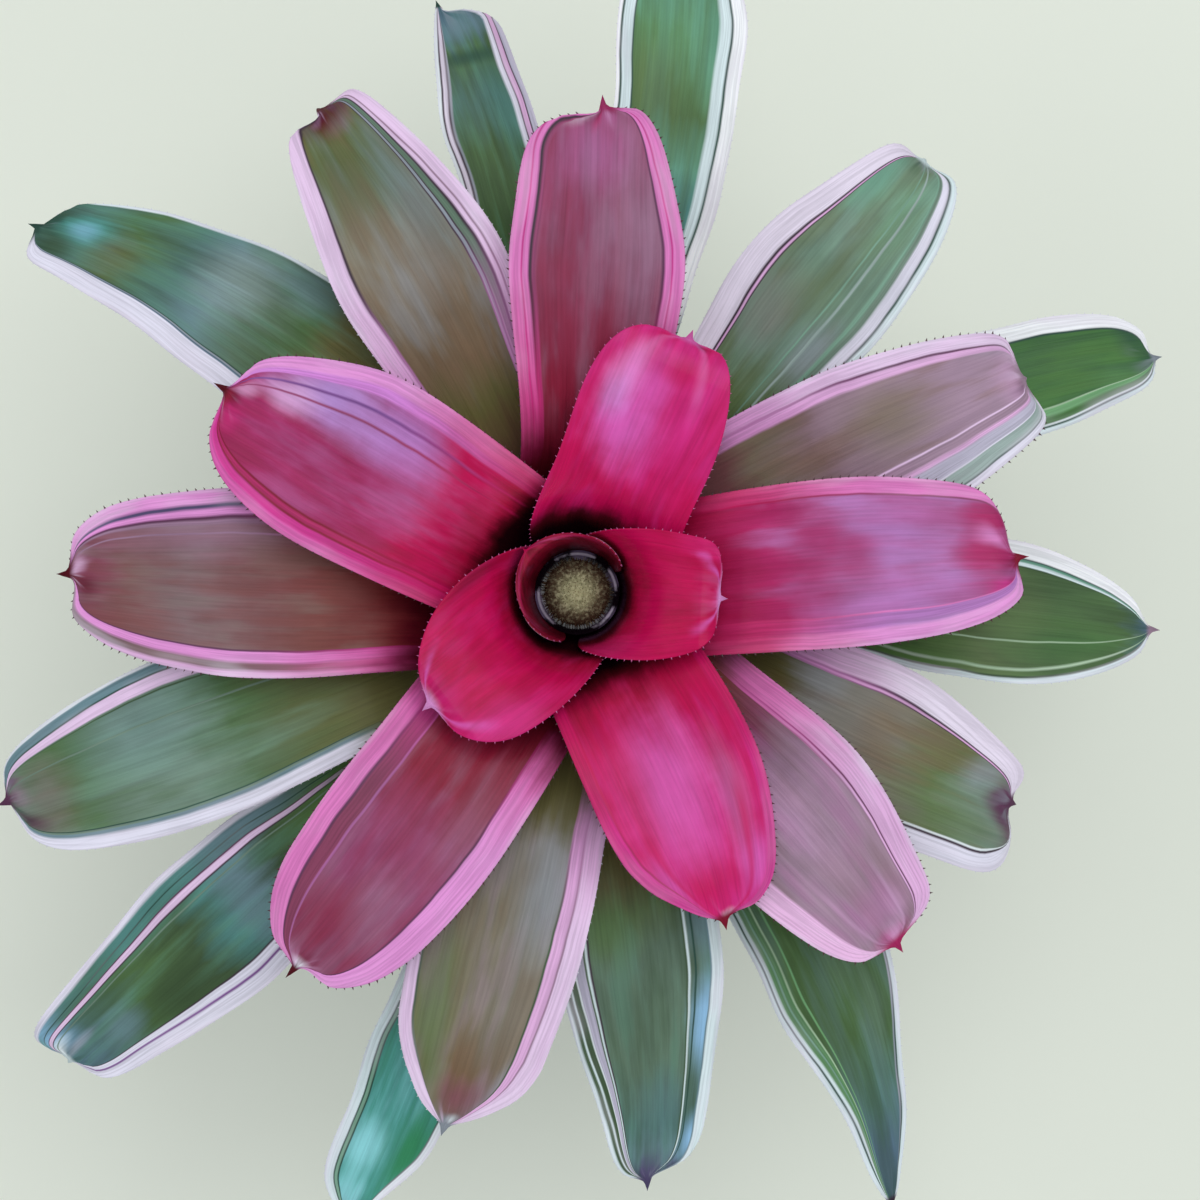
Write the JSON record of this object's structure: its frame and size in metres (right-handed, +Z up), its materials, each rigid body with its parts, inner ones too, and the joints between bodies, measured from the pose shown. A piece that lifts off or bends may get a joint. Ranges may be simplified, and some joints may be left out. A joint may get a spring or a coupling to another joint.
{
  "type": "potted neoregelia bromeliad",
  "caption": "Potted bromeliad: an open rosette of broad, spiny-edged strap leaves, crimson at the heart and green outside, round a low flower head in its water tank.",
  "frame": {"origin": "middle of the pot's underside, on the plant's axis", "axes": "+Z up along the stem, +X to the right and +Y away from a viewer who looks at the plant from the front"},
  "size_m": [0.3712, 0.4229, 0.2282],
  "materials": {
    "pot_plastic": "matte",
    "potting_mix": "matte",
    "stem_tissue": "matte",
    "tank_water": "gloss",
    "flower_buds": "matte",
    "leaf_heart": "satin",
    "leaf_wine": "satin",
    "leaf_olive": "satin",
    "leaf_green": "satin"
  },
  "bodies": {
    "root": {"pot": "pot_plastic", "potting_soil": "potting_mix", "stem": "stem_tissue", "tank_water": "tank_water", "flower_head": "flower_buds", "leaf_01": "leaf_heart", "leaf_02": "leaf_heart", "leaf_03": "leaf_heart", "leaf_04": "leaf_heart", "leaf_05": "leaf_heart", "leaf_06": "leaf_wine", "leaf_07": "leaf_wine", "leaf_08": "leaf_wine", "leaf_09": "leaf_wine", "leaf_10": "leaf_olive", "leaf_11": "leaf_olive", "leaf_12": "leaf_olive", "leaf_13": "leaf_olive", "leaf_14": "leaf_olive", "leaf_15": "leaf_green", "leaf_16": "leaf_green", "leaf_17": "leaf_green", "leaf_18": "leaf_green", "leaf_19": "leaf_green", "leaf_20": "leaf_green", "leaf_21": "leaf_green", "leaf_22": "leaf_green", "leaf_23": "leaf_green", "leaf_24": "leaf_green", "leaf_25": "leaf_green", "leaf_26": "leaf_green"}
  },
  "joints": []
}
